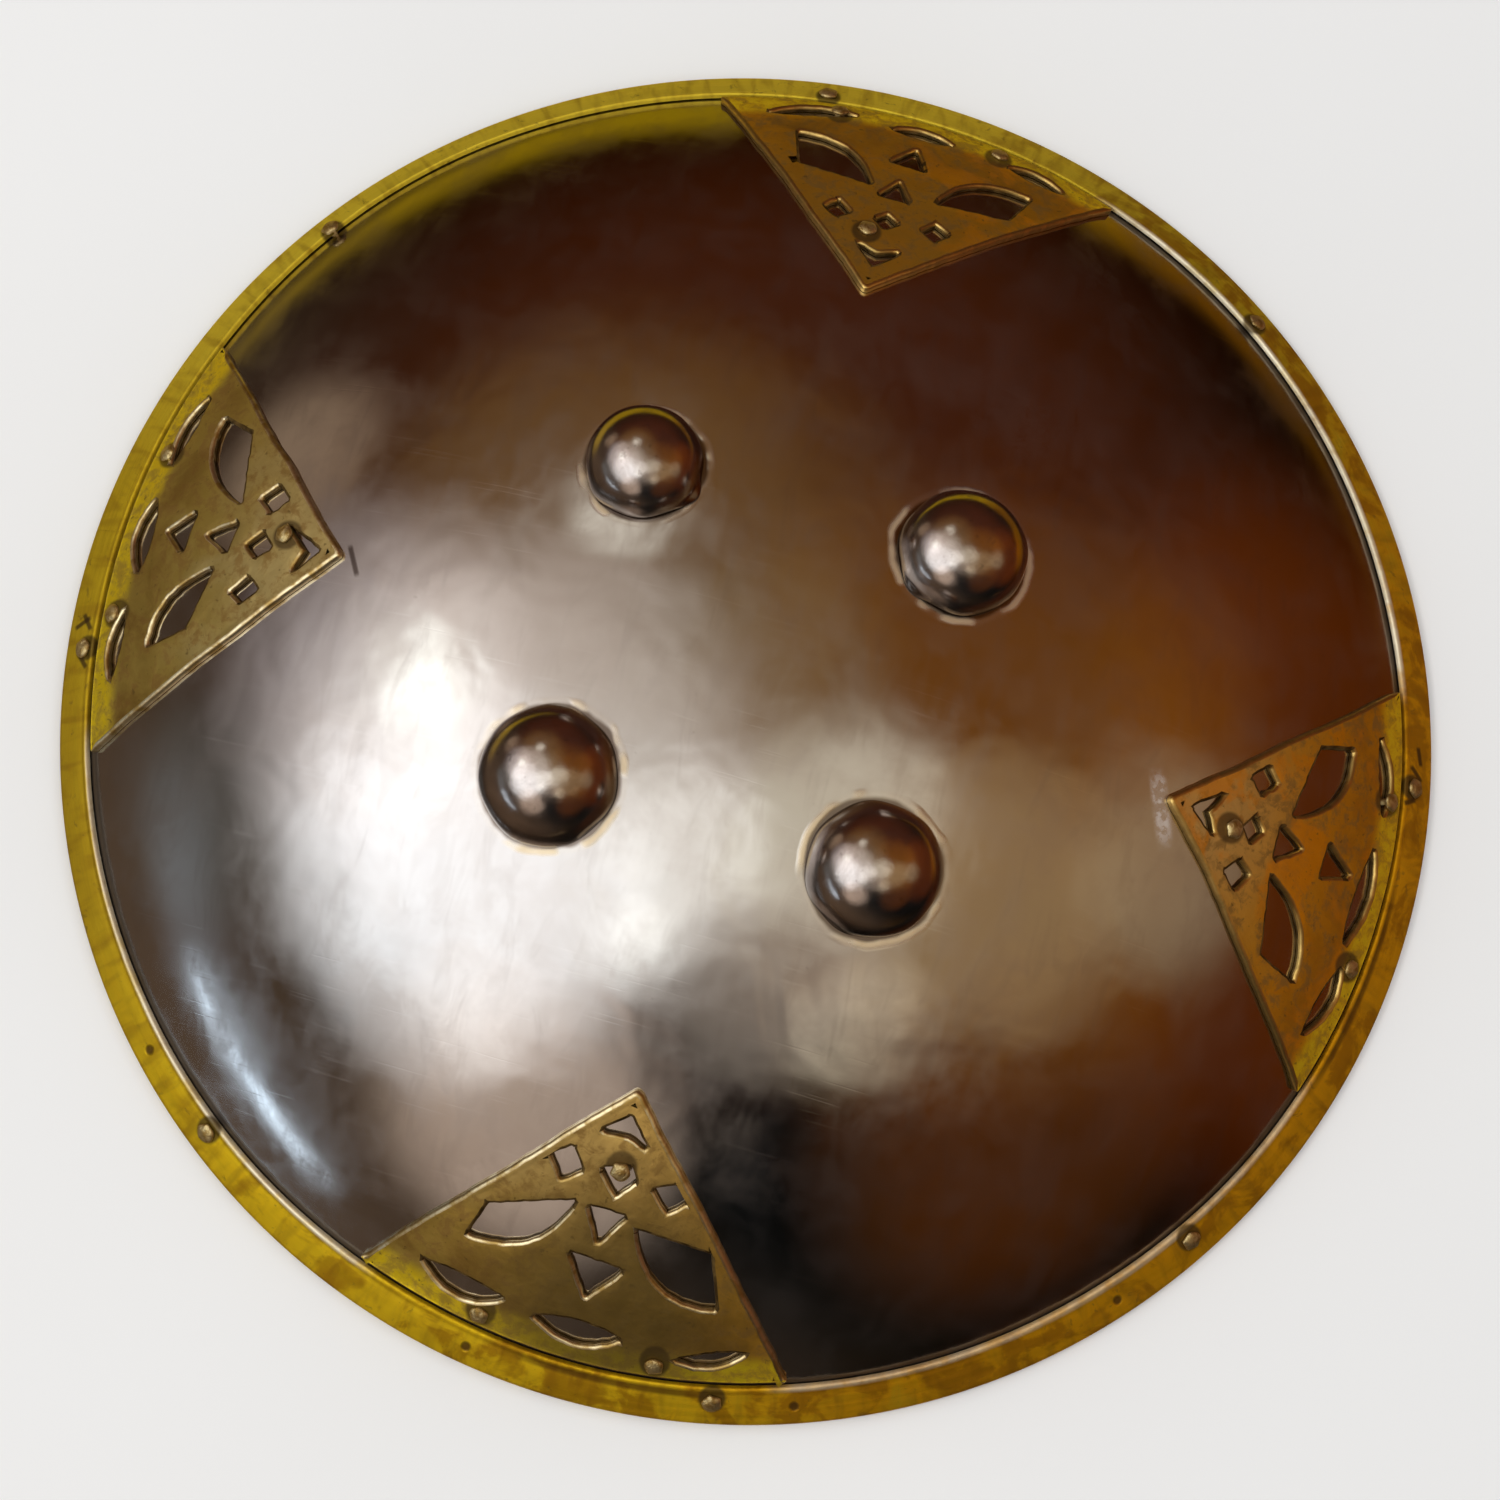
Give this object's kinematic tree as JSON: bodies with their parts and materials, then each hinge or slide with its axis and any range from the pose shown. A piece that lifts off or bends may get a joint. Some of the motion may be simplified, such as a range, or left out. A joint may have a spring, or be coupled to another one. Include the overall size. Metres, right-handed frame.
{
  "type": "buckler shield",
  "caption": "Small round convex steel shield with a folded brass rim, pierced brass corner plates, hollow bosses and leather grips behind.",
  "frame": {"origin": "under the centre of the shield, on the surface that its rim rests on", "axes": "+Z out of the shield's face, along its axis; the pierced plates lie on +X, +Y, -X and -Y and the bosses between them"},
  "size_m": [0.305, 0.305, 0.0689],
  "materials": {
    "bowl_steel": "polished by hand, softly blurred, warm grey",
    "boss_steel": "polished",
    "washer_steel": "dull, as forged",
    "rim_brass": "polished, hand dressed",
    "plate_brass": "satin, darkened in the cuts",
    "rivet_brass": "hammered heads with dark edges",
    "grip_leather": "dark brown, worn"
  },
  "bodies": {
    "root": {"steel_bowl": "bowl_steel", "rim_band": "rim_brass", "pierced_plate_1": "plate_brass", "pierced_plate_2": "plate_brass", "pierced_plate_3": "plate_brass", "pierced_plate_4": "plate_brass", "plate_1_rivet_point": "rivet_brass", "plate_1_rivet_base_a": "rivet_brass", "plate_1_rivet_base_b": "rivet_brass", "plate_2_rivet_point": "rivet_brass", "plate_2_rivet_base_a": "rivet_brass", "plate_2_rivet_base_b": "rivet_brass", "plate_3_rivet_point": "rivet_brass", "plate_3_rivet_base_a": "rivet_brass", "plate_3_rivet_base_b": "rivet_brass", "plate_4_rivet_point": "rivet_brass", "plate_4_rivet_base_a": "rivet_brass", "plate_4_rivet_base_b": "rivet_brass", "rim_rivet_1": "rivet_brass", "rim_rivet_2": "rivet_brass", "rim_rivet_3": "rivet_brass", "rim_rivet_4": "rivet_brass", "rim_rivet_5": "rivet_brass", "rim_rivet_6": "rivet_brass", "rim_rivet_7": "rivet_brass", "rim_rivet_8": "rivet_brass", "boss_1": "boss_steel", "boss_2": "boss_steel", "boss_3": "boss_steel", "boss_4": "boss_steel", "grip_washer_1": "washer_steel", "grip_washer_2": "washer_steel", "grip_washer_3": "washer_steel", "grip_washer_4": "washer_steel", "grip_strap_1": "grip_leather", "grip_strap_2": "grip_leather"}
  },
  "joints": []
}
